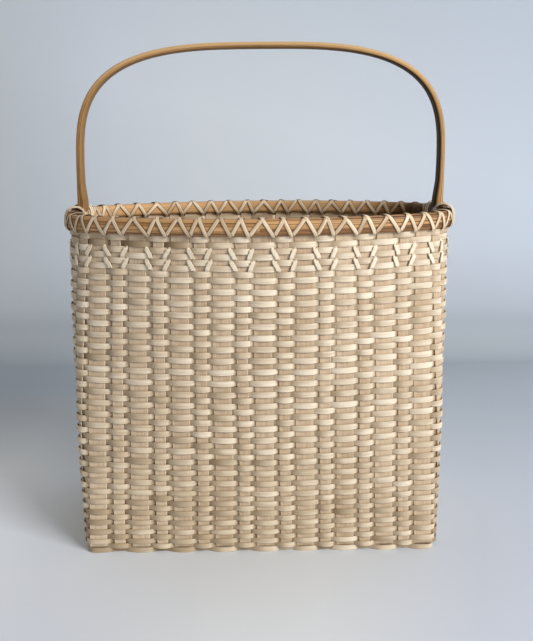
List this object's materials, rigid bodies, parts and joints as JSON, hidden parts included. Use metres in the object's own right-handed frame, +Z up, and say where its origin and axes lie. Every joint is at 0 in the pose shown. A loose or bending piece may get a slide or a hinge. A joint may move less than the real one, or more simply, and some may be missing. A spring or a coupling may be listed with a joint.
{
  "type": "chairside basket",
  "caption": "Tall, narrow woven splint basket with an open top, a lashed double rim and a fixed bow handle over its length.",
  "frame": {"origin": "middle of the base, on the surface that the basket stands on", "axes": "+X along the basket's length, to the right in the picture; +Y from its front face to its back face; +Z up"},
  "size_m": [0.4, 0.2005, 0.4991],
  "materials": {
    "stake_splint": "matt, split grain",
    "weaver_splint": "matt, pale",
    "rim_wood": "satin, steam bent",
    "handle_wood": "satin, steam bent",
    "lashing_splint": "matt, pale"
  },
  "bodies": {
    "root": {"end_to_end_stake_01": "stake_splint", "end_to_end_stake_02": "stake_splint", "end_to_end_stake_03": "stake_splint", "end_to_end_stake_04": "stake_splint", "end_to_end_stake_05": "stake_splint", "end_to_end_stake_06": "stake_splint", "end_to_end_stake_07": "stake_splint", "front_to_back_stake_01": "stake_splint", "front_to_back_stake_02": "stake_splint", "front_to_back_stake_03": "stake_splint", "front_to_back_stake_04": "stake_splint", "front_to_back_stake_05": "stake_splint", "front_to_back_stake_06": "stake_splint", "front_to_back_stake_07": "stake_splint", "front_to_back_stake_08": "stake_splint", "front_to_back_stake_09": "stake_splint", "front_to_back_stake_10": "stake_splint", "front_to_back_stake_11": "stake_splint", "front_to_back_stake_12": "stake_splint", "front_to_back_stake_13": "stake_splint", "front_to_back_stake_14": "stake_splint", "front_to_back_stake_15": "stake_splint", "front_to_back_stake_16": "stake_splint", "front_to_back_stake_17": "stake_splint", "handle": "handle_wood", "inner_rim": "rim_wood", "outer_rim": "rim_wood", "rim_lashing_leftward_1": "lashing_splint", "rim_lashing_leftward_2": "lashing_splint", "rim_lashing_leftward_3": "lashing_splint", "rim_lashing_rightward_1": "lashing_splint", "rim_lashing_rightward_2": "lashing_splint", "rim_lashing_rightward_3": "lashing_splint", "twist_course_lower": "weaver_splint", "twist_course_upper": "weaver_splint", "weavers_01_02": "weaver_splint", "weavers_07_08": "weaver_splint", "weavers_09_10": "weaver_splint", "weavers_11_12": "weaver_splint", "weavers_13_14": "weaver_splint", "weavers_15_16": "weaver_splint", "weavers_17_18": "weaver_splint", "weavers_19_20": "weaver_splint", "weavers_21_22": "weaver_splint", "weavers_23_24": "weaver_splint", "weavers_25_26": "weaver_splint", "weavers_27_28": "weaver_splint", "weavers_29_30": "weaver_splint", "weavers_31_32": "weaver_splint", "weavers_33_34": "weaver_splint", "weavers_35_37": "weaver_splint", "weavers_38_40": "weaver_splint", "weavers_41_43": "weaver_splint", "weavers_44_46": "weaver_splint", "weavers_47_49": "weaver_splint", "weavers_50_52": "weaver_splint", "weavers_53_55": "weaver_splint", "weavers_56_58": "weaver_splint"}
  },
  "joints": []
}
